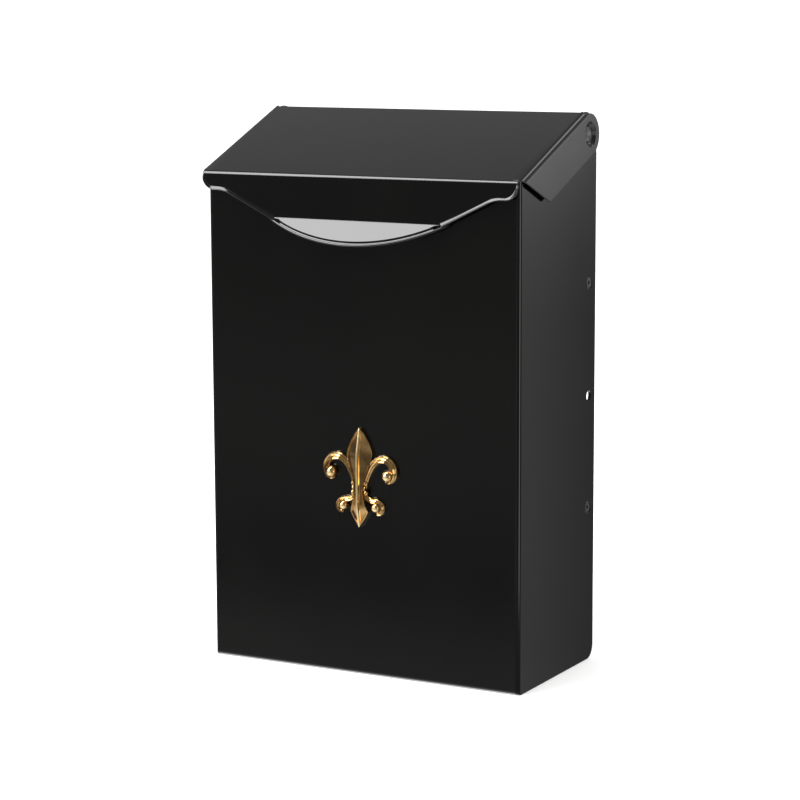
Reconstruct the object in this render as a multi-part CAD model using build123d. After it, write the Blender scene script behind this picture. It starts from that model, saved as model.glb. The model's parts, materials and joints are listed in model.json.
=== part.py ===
from build123d import *
import math
import os

# Wall mounted mailbox in folded sheet steel, with a lid that swings up on two hinge studs.
# Millimetres. +X to the right, +Y towards the wall, +Z up. The wall is the plane y = 0.
# Heights are drawn from the bottom of the box. Each piece is exported with its origin in the
# wall plane, at the middle of the four wall screws.

# ---- driving dimensions ----

sheet = 0.8                  # thickness of every sheet
body_width = 155.0           # outside of the two sides
body_depth = 76.4            # front face to wall
fold_radius = 1.8            # outside of the folds between the front and the sides
bottom_fold_radius = 1.6     # outside of the fold between the front and the bottom
rear_corner_radius = 6.0     # bottom rear corners of the sides
front_hem_height = 8.0       # the front's top edge is folded back on itself
bottom_tab_height = 12.0     # tabs that join the bottom to the sides and to the back

flap_standoff = 2.5          # outside of a flap to the outside of the body's side
lid_slope = 22.2             # degrees, rising towards the wall
lid_fold_height = 221.9      # outer corner of the fold between the lid's top and its lip
lid_side_radius = 2.8        # outside of the folds between the top and the flaps
lid_fold_radius = 1.6        # outside of the front and rear folds
lip_standoff = 4.0           # outside of the lip to the front of the body
lid_gap = 0.3                # lid to the edges it closes on
flap_front_angle = 45.0      # degrees, front edge of a flap to the lid's slope
flap_corner_radius = 3.0
rear_flange_length = 8.5     # edge folded down behind the lid
rear_flange_gap = 1.5        # rear flange to the insides of the body's sides

lip_end_gap = 2.0            # lip's ends to the outsides of the flaps
lip_end_height = 7.9         # lip at its ends
lip_end_radius = 6.0
lip_shoulder_radius = 15.0   # where the lower edge starts to dip
lip_dip_angle = 26.0         # degrees, lower edge at the steepest
pull_height = 11.5           # finger pull: flared part of the lip, measured along the sheet
pull_bend_drop = 19.5        # lid fold to the bend above the finger pull
pull_half_width = 43.3
pull_angle = 35.0            # degrees from the vertical
pull_rim_radius = 1.0        # rolled rim of the finger pull

hinge_back = 11.5            # hinge axis to the wall
hinge_drop = 10.9            # hinge axis under the lid's top face
side_shoulder_drop = 8.3     # hinge axis to the top of the sides' straight rear edges
ear_radius = 9.2
ear_dimple_radius = 5.8
ear_hole_radius = 3.5
ear_cone_extra = 0.3         # inside of the dimple's cone beyond its outside, along the radius
ear_side_gap = 0.15          # dimpled ear to the body's side
stud_clearance = 0.08        # radial, hinge stud in the ear's hole
stud_head_height = 2.1
stud_shank_radius = 2.0
stud_tail_radius = 3.2
stud_tail_height = 0.9

back_recess = 11.0           # back panel's rear face to the wall
back_bottom_height = 8.0
back_top_gap = 0.55          # back panel to the tails of the hinge studs
back_bend_radius = 1.6
back_corner_radius = 5.0
side_hole_back = 6.2         # rivets and hole in the sides, to the wall
side_hole_height = 121.3
side_hole_radius = 2.5
rivet_spacing = 101.6
rivet_head_radius = 2.9
rivet_radius = 1.6
rivet_head_sink = 0.2        # rivet head under the side's face
rivet_tail_radius = 2.5
rivet_tail_height = 1.4
rivet_bore_radius = 0.8

screw_hole_radius = 2.6
screw_spacing_x = 76.2
screw_spacing_z = 127.0

emblem_height = 89.5         # middle of the emblem
emblem_lift = 1.0            # axis of the scrolls over the front face
petal_half_length = 22.4     # middle of the emblem to its upper and lower tips
petal_half_width = 6.6
petal_widest = 11.4          # over the middle
petal_relief = 4.6
spear_half_width = 4.5
spear_widest = 15.2          # under the middle
spear_relief = 3.8
spine_half_width = 0.05
waist = -4.8                 # the band and the roots of the scrolls
waist_half_width = 2.0
band_radius = 1.7
band_width = 9.0
upper_scroll_radius = 2.0
lower_scroll_radius = 1.7
emblem_stud_radius = 1.5
emblem_stud_length = 4.6     # behind the front face
emblem_stud_spacing = 20.0
emblem_stud_clearance = 0.2
push_nut_radius = 5.0
push_nut_thickness = 0.5
push_nut_clearance = 0.02

# ---- places worked out from them ----

slope = math.radians(lid_slope)
side_x = body_width / 2
side_inner_x = side_x - sheet
front_y = -body_depth
lip_y = front_y - lip_standoff
hinge_y = -hinge_back
lid_rear_y = hinge_y - hinge_drop * math.sin(slope)
lid_rear_height = lid_fold_height + (lid_rear_y - lip_y) * math.tan(slope)
hinge_height = lid_rear_height - hinge_drop * math.cos(slope)
lid_length = (lid_rear_y - lip_y) / math.cos(slope)
flap_depth = hinge_drop + ear_radius
flap_x = side_x + flap_standoff
lip_x = flap_x - lip_end_gap
back_top_height = hinge_height - stud_tail_radius - back_top_gap
pull_bend_height = lid_fold_height - pull_bend_drop
web_y = -back_recess - sheet

# Across the lid: u to the right, v square to the lid's top, w down the slope to the front.
lid_plane = Plane(
    origin=(0, lid_rear_y, lid_rear_height),
    x_dir=(1, 0, 0),
    z_dir=(0, -math.cos(slope), -math.sin(slope)),
)
# A side view drawn as (y, height), pushed out along X.
side_plane = Plane(origin=(0, 0, 0), x_dir=(0, 1, 0), z_dir=(1, 0, 0))
# A front view drawn as (x, height), pushed out along -Y.
front_plane = Plane.XZ


def box_between(x0, x1, y0, y1, z0, z1):
    middle = ((x0 + x1) / 2, (y0 + y1) / 2, (z0 + z1) / 2)
    return Pos(*middle) * Box(x1 - x0, y1 - y0, z1 - z0)


def across(view, half_width):
    """A side view made solid between -half_width and half_width."""
    return extrude(side_plane * view, amount=half_width, both=True)


def along_x(radius, x0, x1, y, z):
    """A round bar from x0 to x1."""
    middle = Pos((x0 + x1) / 2, y, z) * Rot(0, 90, 0)
    return middle * Cylinder(radius, abs(x1 - x0))


def turned(outline, side, y, z):
    """A piece turned about X from (radius, x) points, on the left (-1) or right (1)."""
    face = make_face(Polyline(*[(r, side * x) for r, x in outline], close=True))
    turning = revolve(face, Axis.Y, 360)
    return Pos(0, y, z) * Rot(0, 0, -90) * turning


def lid_top_height(y, drop=0.0):
    """Height of the lid's top face at y, or of a face that lies a drop under it."""
    return lid_fold_height + (y - lip_y) * math.tan(slope) - drop / math.cos(slope)


# ---- body shell ----

def side_view():
    """Outline of a side: it follows the lid's slope, then the lid's swing about the hinge."""
    top_gap = sheet + lid_gap
    reach = hinge_drop - top_gap
    start = math.radians(90 + lid_slope)
    edge_height = hinge_height - side_shoulder_drop
    away = math.hypot(hinge_back, side_shoulder_drop)
    below = math.atan2(side_shoulder_drop, hinge_back)
    end = math.acos(reach / away) - below
    middle = (start + end) / 2
    arc = [
        (hinge_y + reach * math.cos(a), hinge_height + reach * math.sin(a))
        for a in (start, middle, end)
    ]
    corner = (front_y, lid_top_height(front_y, top_gap))
    line = (
        Line((front_y, 0), corner)
        + Line(corner, arc[0])
        + ThreePointArc(*arc)
        + Line(arc[2], (0, edge_height))
        + Line((0, edge_height), (0, rear_corner_radius))
        + RadiusArc((0, rear_corner_radius), (-rear_corner_radius, 0), rear_corner_radius)
        + Line((-rear_corner_radius, 0), (front_y, 0))
    )
    return make_face(line)


def rivet_places():
    for end, step in (("lower", -0.5), ("upper", 0.5)):
        yield end, side_hole_height + step * rivet_spacing


def make_body_shell():
    top = lid_rear_height + sheet
    outside = box_between(-side_x, side_x, front_y, 0, 0, top)
    uprights = outside.edges().filter_by(Axis.Z).group_by(Axis.Y)[0]
    outside = fillet(uprights, fold_radius)
    bottom_edge = outside.edges().filter_by(Axis.X).group_by(Axis.Y)[0].sort_by(Axis.Z)[0]
    outside = fillet(bottom_edge, bottom_fold_radius)
    inside = box_between(
        -side_inner_x, side_inner_x, front_y + sheet, sheet, sheet, top + sheet
    )
    uprights = inside.edges().filter_by(Axis.Z).group_by(Axis.Y)[0]
    inside = fillet(uprights, fold_radius - sheet)
    shell = (outside - inside) & across(side_view(), side_x)

    front_top = lid_top_height(front_y, sheet + lid_gap)
    shell -= box_between(-side_inner_x, side_inner_x, front_y - sheet, front_y + sheet,
                         front_top, top)
    hem_x = side_inner_x - fold_radius
    shell += box_between(-hem_x, hem_x, front_y + sheet, front_y + 2 * sheet,
                         front_top - front_hem_height, front_top)

    # the bottom stops at the back panel, and its tabs stand inside the sides and the back
    shell -= box_between(-side_inner_x, side_inner_x, web_y, sheet, -sheet, sheet)
    tab_top = sheet + bottom_tab_height
    for side in (-1, 1):
        x0, x1 = sorted((side * (side_inner_x - sheet), side * side_inner_x))
        shell += box_between(x0, x1, front_y + 3 * sheet, web_y - 2 * sheet, sheet, tab_top)
    shell += box_between(-side_inner_x + 2 * sheet, side_inner_x - 2 * sheet,
                         web_y - sheet, web_y, 0, tab_top)

    for side in (-1, 1):
        inner, outer = side * (side_inner_x - sheet), side * (side_x + sheet)
        shell -= along_x(side_hole_radius, inner, outer, -side_hole_back, side_hole_height)
        shell -= along_x(stud_shank_radius, inner, outer, hinge_y, hinge_height)
        for end, height in rivet_places():
            sink = [
                (0, side_x), (rivet_head_radius, side_x),
                (rivet_radius, side_inner_x), (0, side_inner_x),
            ]
            shell -= turned(sink, side, -side_hole_back, height)
    for step in (-0.5, 0.5):
        place = Pos(0, front_y, emblem_height + step * emblem_stud_spacing) * Rot(90, 0, 0)
        hole = Cylinder(emblem_stud_radius + emblem_stud_clearance, 4 * sheet)
        shell -= place * hole
    return shell


# ---- back panel ----

def make_back_panel():
    """A shallow pan whose rim bears on the wall. Its floor carries the wall screws."""
    def block(x, front, rear, low, high, radius, corner):
        solid = box_between(-x, x, front, rear, low, high)
        corners = solid.edges().filter_by(Axis.Y)
        solid = fillet(corners, corner)
        return fillet(solid.faces().sort_by(Axis.Y)[0].edges(), radius)

    pan = block(side_inner_x, web_y, 0, back_bottom_height, back_top_height,
                back_bend_radius, back_corner_radius)
    pan -= block(side_inner_x - sheet, web_y + sheet, sheet,
                 back_bottom_height + sheet, back_top_height - sheet,
                 back_bend_radius - sheet, back_corner_radius - sheet)
    for step_x in (-0.5, 0.5):
        for step_z in (-0.5, 0.5):
            x = step_x * screw_spacing_x
            height = side_hole_height + step_z * screw_spacing_z
            pan -= Pos(x, web_y, height) * Rot(90, 0, 0) * Cylinder(screw_hole_radius, 4 * sheet)
    for side in (-1, 1):
        inner, outer = side * (side_inner_x - 2 * sheet), side * side_x
        pan -= along_x(side_hole_radius, inner, outer, -side_hole_back, side_hole_height)
        for end, height in rivet_places():
            pan -= along_x(rivet_radius, inner, outer, -side_hole_back, height)
    return pan


def make_back_rivet(side, height):
    """Countersunk hollow rivet, head sunk in the side, tail spread inside the back panel."""
    head_x = side_x - rivet_head_sink
    head_radius = rivet_radius + (rivet_head_radius - rivet_radius) * (
        (head_x - side_inner_x) / sheet
    )
    tail_x = side_inner_x - sheet
    outline = [
        (rivet_bore_radius, head_x), (head_radius, head_x), (rivet_radius, side_inner_x),
        (rivet_radius, tail_x), (rivet_tail_radius, tail_x),
        (rivet_tail_radius, tail_x - 0.6 * rivet_tail_height),
        (rivet_radius, tail_x - rivet_tail_height),
        (rivet_bore_radius, tail_x - rivet_tail_height),
    ]
    return turned(outline, side, -side_hole_back, height)


# ---- lid ----

def flap_view():
    """Outline of a flap in the lid's own slope, as (w, v)."""
    run = flap_depth / math.tan(math.radians(flap_front_angle))
    front = lid_length - lid_fold_radius
    corners = [(0, 0), (front, 0), (front - run, -flap_depth), (0, -flap_depth)]
    flap = make_face(Polyline(*corners, close=True))
    low_front = flap.vertices().sort_by(Axis.Y)[:2].sort_by(Axis.X)[-1]
    flap = fillet(low_front, flap_corner_radius)
    return flap + Pos(0, -hinge_drop) * Circle(ear_radius)


def make_lid_channel():
    """The lid's top with a flap folded down on each side."""
    outer = extrude(
        lid_plane * Pos(0, -flap_depth) * Rectangle(2 * flap_x, 2 * flap_depth),
        amount=lid_length - lid_fold_radius, both=True,
    )
    top_edges = outer.edges().filter_by(Axis((0, 0, 0), lid_plane.z_dir))
    folds = top_edges.sort_by(Axis((0, 0, 0), lid_plane.y_dir))[-2:]
    outer = fillet(folds, lid_side_radius)
    inner = extrude(
        lid_plane * Pos(0, -flap_depth - sheet)
        * Rectangle(2 * (flap_x - sheet), 2 * flap_depth),
        amount=lid_length, both=True,
    )
    top_edges = inner.edges().filter_by(Axis((0, 0, 0), lid_plane.z_dir))
    folds = top_edges.sort_by(Axis((0, 0, 0), lid_plane.y_dir))[-2:]
    inner = fillet(folds, lid_side_radius - sheet)
    outline_plane = Plane(
        origin=lid_plane.origin, x_dir=lid_plane.z_dir, z_dir=lid_plane.x_dir * -1
    )
    outline = extrude(outline_plane * flap_view(), amount=2 * flap_x, both=True)
    return (outer - inner) & outline


def sheet_strip(points, radius, half_width):
    """A bent strip: its outer face follows the (y, height) points, its metal lies inside."""
    line = FilletPolyline(*points, radius=radius)
    inner = offset(line, amount=sheet, side=Side.RIGHT)
    return across(make_face(inner), half_width)


def lip_view():
    """Front view of the lip above the finger pull's bend, as (x, height)."""
    low = lid_fold_height - lip_end_height
    dip = math.tan(math.radians(lip_dip_angle))
    shoulder_x = pull_half_width + (low - pull_bend_height) / dip
    foot = pull_bend_height - sheet
    foot_x = pull_half_width - sheet / dip
    right = [(lip_x, lid_rear_height), (lip_x, low), (shoulder_x, low), (foot_x, foot)]
    left = [(-x, z) for x, z in reversed(right)]
    view = make_face(Polyline(*right, *left, close=True))
    level = [v for v in view.vertices() if abs(v.Y - low) < 1e-6]
    left_end, left_shoulder, right_shoulder, right_end = sorted(level, key=lambda v: v.X)
    view = fillet([left_end, right_end], lip_end_radius)
    shoulders = [v for v in view.vertices() if abs(abs(v.X) - shoulder_x) < 1e-6]
    return fillet(shoulders, lip_shoulder_radius)


def make_lid_front():
    """The lip, and below a straight bend the finger pull with its rolled rim."""
    tilt = math.radians(pull_angle)
    end = (lip_y - 2 * pull_height * math.sin(tilt),
           pull_bend_height - 2 * pull_height * math.cos(tilt))
    back = lip_y + 3 * lid_fold_radius
    points = [end, (lip_y, pull_bend_height), (lip_y, lid_fold_height),
              (back, lid_top_height(back))]
    strip = sheet_strip(points, lid_fold_radius, lip_x)
    lip = extrude(front_plane * lip_view(), amount=2 * body_depth, both=True)
    upper = strip & lip
    lower_limit = box_between(-side_x, side_x, 2 * front_y, 0, 0, pull_bend_height)

    # the flared sheet is cut to a round edge in its own plane
    pull_plane = Plane(
        origin=(0, lip_y, pull_bend_height),
        x_dir=(1, 0, 0),
        z_dir=(0, -math.cos(tilt), math.sin(tilt)),
    )
    edge_radius = (pull_half_width**2 + pull_height**2) / (2 * pull_height)
    centre = (0, edge_radius - pull_height)
    disc = extrude(pull_plane * Pos(*centre) * Circle(edge_radius), amount=4 * sheet, both=True)
    lower = strip & lower_limit & disc

    spread = math.degrees(math.asin(pull_half_width / edge_radius))
    rim_line = pull_plane * Pos(0, 0, -sheet / 2) * CenterArc(
        (*centre, 0), edge_radius, 270 - spread, 2 * spread
    )
    start = Plane(rim_line @ 0, z_dir=rim_line % 0)
    rim = sweep(start * Circle(pull_rim_radius), path=rim_line)
    ends = [Pos(*(rim_line @ t)) * Sphere(pull_rim_radius) for t in (0, 1)]
    return upper + lower + rim + ends[0] + ends[1]


def make_lid():
    lid = make_lid_channel() + make_lid_front()
    flange_x = side_inner_x - rear_flange_gap
    points = [
        (lid_rear_y - 3 * lid_fold_radius, lid_top_height(lid_rear_y - 3 * lid_fold_radius)),
        (lid_rear_y, lid_rear_height),
        (lid_rear_y, lid_rear_height - rear_flange_length),
    ]
    lid -= box_between(-flange_x, flange_x, lid_rear_y - lid_fold_radius, 0,
                       hinge_height, lid_rear_height + sheet)
    lid += sheet_strip(points[::-1], lid_fold_radius, flange_x)
    ear_x = side_x + ear_side_gap
    ear = [
        (ear_dimple_radius + sheet, flap_x), (ear_dimple_radius, flap_x),
        (ear_hole_radius + sheet, ear_x + sheet), (ear_hole_radius, ear_x + sheet),
        (ear_hole_radius, ear_x), (ear_hole_radius + sheet + ear_cone_extra, ear_x),
        (ear_dimple_radius + ear_cone_extra, flap_x - sheet),
        (ear_dimple_radius + sheet, flap_x - sheet),
    ]
    for side in (-1, 1):
        lid -= along_x(ear_dimple_radius + sheet, side * side_x, side * (flap_x + sheet),
                       hinge_y, hinge_height)
        lid += turned(ear, side, hinge_y, hinge_height)
    return lid


def make_hinge_stud(side):
    """A domed head is the journal for the lid's ear. Its tail is spread inside the body."""
    head_radius = ear_hole_radius - stud_clearance
    land = ear_side_gap + sheet
    dome = stud_head_height - land
    sphere_radius = (head_radius**2 + dome**2) / (2 * dome)
    centre = stud_head_height - sphere_radius
    top_angle = math.acos((land - centre) / sphere_radius)
    curve = [
        (sphere_radius * math.sin(top_angle * k), side_x + centre
         + sphere_radius * math.cos(top_angle * k))
        for k in (1.0, 0.5, 0.0)
    ]
    profile = (
        Line((0, curve[2][1]), (0, side_inner_x - stud_tail_height))
        + Polyline(
            (0, side_inner_x - stud_tail_height),
            (stud_tail_radius, side_inner_x - stud_tail_height),
            (stud_tail_radius, side_inner_x), (stud_shank_radius, side_inner_x),
            (stud_shank_radius, side_x), (head_radius, side_x), curve[0],
        )
        + ThreePointArc(*curve)
    )
    stud = revolve(make_face(profile), Axis.Y, 360)
    if side < 0:
        stud = mirror(stud, about=Plane.XZ)
    return Pos(0, hinge_y, hinge_height) * Rot(0, 0, -90) * stud


# ---- emblem ----

def scroll(points, radius, ball):
    """A round-backed scroll along an arc, with a ball at its end, in the emblem's plane."""
    line = ThreePointArc(*[(x, z, emblem_lift) for x, z in points])
    bar = sweep(Plane(line @ 0, z_dir=line % 0) * Circle(radius), path=line)
    x, z, ball_radius = ball
    return [bar, Pos(*(line @ 1)) * Sphere(radius), Pos(x, z, emblem_lift) * Sphere(ball_radius)]


def leaf(half_width, widest, relief):
    """Half of the emblem's middle: a leaf with a sharp spine, from the waist to its tip."""
    side = [(0, petal_half_length), (half_width, widest), (waist_half_width, 0)]
    outline = side + [(-x, z) for x, z in side[:0:-1]]
    flat = make_face(Polyline(*outline, close=True))
    spine_side = [(0, petal_half_length)] + [(spine_half_width, z) for x, z in side[1:]]
    spine = spine_side + [(-x, z) for x, z in spine_side[:0:-1]]
    ridge = Pos(0, 0, relief) * make_face(Polyline(*spine, close=True))
    return loft([flat, ridge], ruled=True)


def make_emblem():
    """A fleur-de-lis with two studs that pass through the front."""
    pieces = [
        leaf(petal_half_width, petal_widest, petal_relief),
        mirror(leaf(spear_half_width, spear_widest, spear_relief), about=Plane.XZ),
        Pos(0, waist, emblem_lift) * Rot(0, 90, 0) * Cylinder(band_radius, band_width),
    ]
    upper = scroll([(waist_half_width, waist), (10.4, 8.4), (16.9, 4.0)],
                   upper_scroll_radius, (14.1, 1.5, 3.3))
    lower = scroll([(waist_half_width, waist), (8.6, -8.6), (10.2, -12.4)],
                   lower_scroll_radius, (8.1, -12.9, 3.2))
    for piece in upper + lower:
        pieces += [piece, mirror(piece, about=Plane.YZ)]
    emblem = pieces[0]
    for piece in pieces[1:]:
        emblem += piece
    emblem &= box_between(-30, 30, -30, 30, 0, 10)
    for step in (-0.5, 0.5):
        stud = Cylinder(emblem_stud_radius, emblem_stud_length + emblem_lift)
        emblem += Pos(0, step * emblem_stud_spacing,
                      (emblem_lift - emblem_stud_length) / 2) * stud
    place = Plane(origin=(0, front_y, emblem_height), x_dir=(1, 0, 0), z_dir=(0, -1, 0))
    return place * emblem


def make_push_nut(step):
    """A spring washer pressed on an emblem stud, behind the front."""
    ring = Cylinder(push_nut_radius, push_nut_thickness)
    ring -= Cylinder(emblem_stud_radius + push_nut_clearance, 2 * push_nut_thickness)
    y = front_y + sheet + push_nut_thickness / 2
    return Pos(0, y, emblem_height + step * emblem_stud_spacing) * Rot(90, 0, 0) * ring


# ---- every piece, by name ----

parts = {
    "body_shell": make_body_shell(),
    "back_panel": make_back_panel(),
    "lid": make_lid(),
    "emblem": make_emblem(),
    "push_nut_lower": make_push_nut(-0.5),
    "push_nut_upper": make_push_nut(0.5),
}
for side_name, side in (("left", -1), ("right", 1)):
    parts[f"hinge_stud_{side_name}"] = make_hinge_stud(side)
    for end, height in rivet_places():
        parts[f"back_rivet_{side_name}_{end}"] = make_back_rivet(side, height)

os.makedirs("parts", exist_ok=True)
for name, shape in parts.items():
    export_step(Pos(0, 0, -side_hole_height) * shape, f"parts/{name}.step")
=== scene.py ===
"""Looks of the wall mounted mailbox: a gloss black box and lid of folded sheet steel, and its gold emblem."""
import json
import math

import bmesh
import bpy
from mathutils import Matrix, Vector


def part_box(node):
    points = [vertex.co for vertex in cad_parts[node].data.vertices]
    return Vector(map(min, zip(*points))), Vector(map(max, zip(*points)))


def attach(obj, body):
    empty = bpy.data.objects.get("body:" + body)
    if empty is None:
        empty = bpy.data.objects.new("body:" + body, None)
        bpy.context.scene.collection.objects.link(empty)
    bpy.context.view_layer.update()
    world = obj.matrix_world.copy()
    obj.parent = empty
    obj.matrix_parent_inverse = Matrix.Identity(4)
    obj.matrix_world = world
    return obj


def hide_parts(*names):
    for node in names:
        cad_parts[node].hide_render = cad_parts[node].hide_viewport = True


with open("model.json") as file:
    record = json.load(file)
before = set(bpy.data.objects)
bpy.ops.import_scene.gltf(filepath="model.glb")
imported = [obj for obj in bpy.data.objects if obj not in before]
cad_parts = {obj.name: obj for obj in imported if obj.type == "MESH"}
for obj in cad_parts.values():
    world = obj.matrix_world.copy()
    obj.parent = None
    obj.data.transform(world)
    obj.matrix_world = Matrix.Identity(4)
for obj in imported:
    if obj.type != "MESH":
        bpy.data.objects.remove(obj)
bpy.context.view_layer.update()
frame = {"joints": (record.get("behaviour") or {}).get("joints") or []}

# ---- sizes in metres, named as on the workshop drawing ----

MM = 0.001
SHEET = 0.8 * MM
CUT_EDGE_ROUND = 0.16 * MM
LID_EDGE_ROUND = 0.28 * MM
FRONT_FOLD = 1.8 * MM
BOTTOM_FOLD = 1.6 * MM
REAR_CORNER = 6.0 * MM
HEM_HEIGHT = 8.0 * MM
HEM_RADIUS = 0.85 * MM
TAB_HEIGHT = 12.8 * MM
LID_SLOPE = math.radians(22.2)
LID_SIDE_FOLD = 2.8 * MM
LID_FOLD = 1.6 * MM
REAR_FOLD = 0.9 * MM
LID_GAP = 0.3 * MM
HINGE_DROP = 10.9 * MM
SHOULDER_DROP = 8.3 * MM
EAR_RADIUS = 9.2 * MM
EAR_DIMPLE = 5.8 * MM
EAR_SEAT = 4.3 * MM
EAR_HOLE = 3.5 * MM
EAR_SINK = 1.55 * MM
DISH_STEPS = 10
FLAP_DEPTH = HINGE_DROP + EAR_RADIUS
FLAP_CORNER = 3.0 * MM
FLAP_LEAN = 0.016
REAR_FLANGE = 8.5 * MM
LIP_STANDOFF = 4.0 * MM
LIP_END_GAP = 2.0 * MM
LIP_END_HEIGHT = 7.9 * MM
LIP_END_RADIUS = 6.0 * MM
LIP_SHOULDER = 15.0 * MM
LIP_DIP = math.radians(26.0)
PULL_HEIGHT = 11.5 * MM
PULL_BEND_DROP = 19.5 * MM
PULL_HALF_WIDTH = 43.3 * MM
PULL_TILT = math.radians(35.0)
LIP_CURL = 1.4 * MM
LIP_CURL_FADE = 2.5 * MM
PULL_STEPS = [(0.15 * MM, 0.08 * MM), (0.65 * MM, 0.46 * MM), (0.12 * MM, 0), (0.75 * MM, 0)]
RIM_RADIUS = 0.55 * MM
RIVET_STEP = 50.8 * MM
RIVET_BACK = 6.2 * MM
SIDE_HOLE = 2.5 * MM
RIVET_SINK = 2.9 * MM
SCREW_HOLE = 2.6 * MM
SCREW_ACROSS = 38.1 * MM
SCREW_UP = 63.5 * MM
PAN_CORNER = 5.0 * MM
HEM_INSET = 0.5 * MM
BEND_RELIEF = 0.9 * MM
EMBLEM_STUD_STEP = 10.0 * MM
HOLE_SEGMENTS = 48
EAR_SEGMENTS = 96
BOTTOM_CUTS = (7.5, 22.5, 37.5, 52.5, 67.5, 82.5)
CURL_BENDS = (10, 22, 34)

# ---- looks ----

# painted highlights on the emblem, a pale band down the spine and pale spots on the balls: full within the
# first distance, none past the second
SPINE_HIGHLIGHT_BAND = (0.32 * MM, 0.45 * MM)
BALL_HIGHLIGHT_SPOT = (0.8 * MM, 1.5 * MM)
BALL_HIGHLIGHT_PLACES = [(14.1, 1.4), (8.1, -13.2)]
FLOOR_GLOW = 0.2
AMBIENT = 1.3

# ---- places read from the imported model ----

body_low, body_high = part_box("body_shell")
_, lid_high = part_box("lid")
pan_low, pan_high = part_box("back_panel")
emblem_low, emblem_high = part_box("emblem")
emblem_middle = (emblem_low.z + emblem_high.z) / 2
hinge = Vector(frame["joints"][0]["pos_m"])
side_x = body_high.x
front_y = body_low.y
bottom_z = body_low.z
wall_y = body_high.y
flap_x = lid_high.x
lip_x = flap_x - LIP_END_GAP
lip_y = front_y - LIP_STANDOFF
lid_rear_y = hinge.y - HINGE_DROP * math.sin(LID_SLOPE)
lid_rear_z = hinge.z + HINGE_DROP * math.cos(LID_SLOPE)
lid_length = (lid_rear_y - lip_y) / math.cos(LID_SLOPE)
lid_front_z = lid_rear_z - lid_length * math.sin(LID_SLOPE)

# A plate is drawn flat in XY and placed by one of these: its X and Y go along the first two directions.


def placing(across, up, origin=(0, 0, 0)):
    across, up = Vector(across), Vector(up)
    turned = Matrix((across, up, across.cross(up))).transposed().to_4x4()
    return Matrix.Translation(Vector(origin)) @ turned


def slope_z(y, drop=0.0):
    """Height of the lid's top face at y, or of a face that lies a drop under it."""
    return lid_front_z + (y - lip_y) * math.tan(LID_SLOPE) - drop / math.cos(LID_SLOPE)


# ---- sheet metal work ----

ARC_STEP = math.radians(7.5)


def turn_steps(angle, step=ARC_STEP):
    return max(2, math.ceil(abs(angle) / step))


def plate(bm, corners, place):
    """A flat plate from (x, y, corner radius), placed in the row frame. Returns its face."""
    ring = []
    count = len(corners)
    for i, (x, y, radius) in enumerate(corners):
        here = Vector((x, y, 0))
        before = (Vector((*corners[i - 1][:2], 0)) - here).normalized()
        after = (Vector((*corners[(i + 1) % count][:2], 0)) - here).normalized()
        turn = math.pi - before.angle(after)
        start = bm.verts.new(here + before * radius * math.tan(turn / 2))
        ring.append(start)
        if radius:
            middle = here + (before + after).normalized() * radius / math.cos(turn / 2)
            hand = -1 if before.cross(after).z > 0 else 1
            made = bmesh.ops.spin(
                bm, geom=[start], cent=middle, axis=(0, 0, 1), angle=hand * turn,
                steps=turn_steps(turn), use_merge=False,
            )
            end = made["geom_last"][0]
            chain, seen = start, {start}
            while chain is not end:
                chain = next(v for e in chain.link_edges for v in e.verts if v not in seen)
                seen.add(chain)
                ring.append(chain)
    face = bm.faces.new(ring)
    bmesh.ops.transform(bm, matrix=place, verts=ring)
    return face


def drill(bm, face, holes, segments=HOLE_SEGMENTS):
    """Round holes, given as (centre, radius), through a flat plate. Returns each hole's edges."""
    face.normal_update()
    normal = face.normal.copy()
    edges = list(face.edges)
    turn = normal.to_track_quat("Z", "Y").to_matrix().to_4x4()
    bmesh.ops.delete(bm, geom=[face], context="FACES_ONLY")
    rings = []
    for centre, radius in holes:
        made = bmesh.ops.create_circle(
            bm, segments=segments, radius=radius, matrix=Matrix.Translation(centre) @ turn
        )
        ring = once(e for v in made["verts"] for e in v.link_edges)
        edges += ring
        rings.append(ring)
    filled = bmesh.ops.triangle_fill(bm, use_beauty=True, normal=normal, edges=edges)
    faces = [f for f in filled["geom"] if isinstance(f, bmesh.types.BMFace)]
    inner = [e for e in once(e for f in faces for e in f.edges) if len(e.link_faces) == 2
             and all(f in faces for f in e.link_faces)]
    bmesh.ops.dissolve_limit(
        bm, angle_limit=math.radians(1), use_dissolve_boundaries=False,
        verts=[], edges=inner,
    )
    return rings


def once(things):
    """Each thing once, in the order met. A set's order would change from run to run."""
    return list(dict.fromkeys(things))


def fold(bm, edges, centre, axis, angle, step=ARC_STEP):
    """Bends on from an edge round an axis. Returns the new edges at the bend's end."""
    verts = once(v for e in edges for v in e.verts)
    made = bmesh.ops.spin(
        bm, geom=verts + list(edges), cent=centre, axis=axis, angle=angle,
        steps=turn_steps(angle, step), use_merge=False,
    )
    return [g for g in made["geom_last"] if isinstance(g, bmesh.types.BMEdge)]


def run_on(bm, edges, step):
    """Carries the sheet straight on from an edge. Returns the new edges."""
    made = bmesh.ops.extrude_edge_only(bm, edges=edges)["geom"]
    verts = [g for g in made if isinstance(g, bmesh.types.BMVert)]
    bmesh.ops.translate(bm, vec=Vector(step), verts=verts)
    return [g for g in made if isinstance(g, bmesh.types.BMEdge) and
            all(v in verts for v in g.verts)]


def trim(bm, faces, point, normal):
    """Cuts the faces by a plane and throws away the side that the normal points to."""
    geom = once(g for f in faces for g in (f, *f.edges, *f.verts))
    made = bmesh.ops.bisect_plane(
        bm, geom=geom, dist=1e-7, plane_co=point, plane_no=normal, clear_outer=True
    )
    return [g for g in made["geom"] if g.is_valid and isinstance(g, bmesh.types.BMFace)]


def edges_at(bm, test):
    return [e for e in bm.edges if all(test(v.co) for v in e.verts)]


def near(a, b):
    return abs(a - b) < 1e-6


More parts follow.
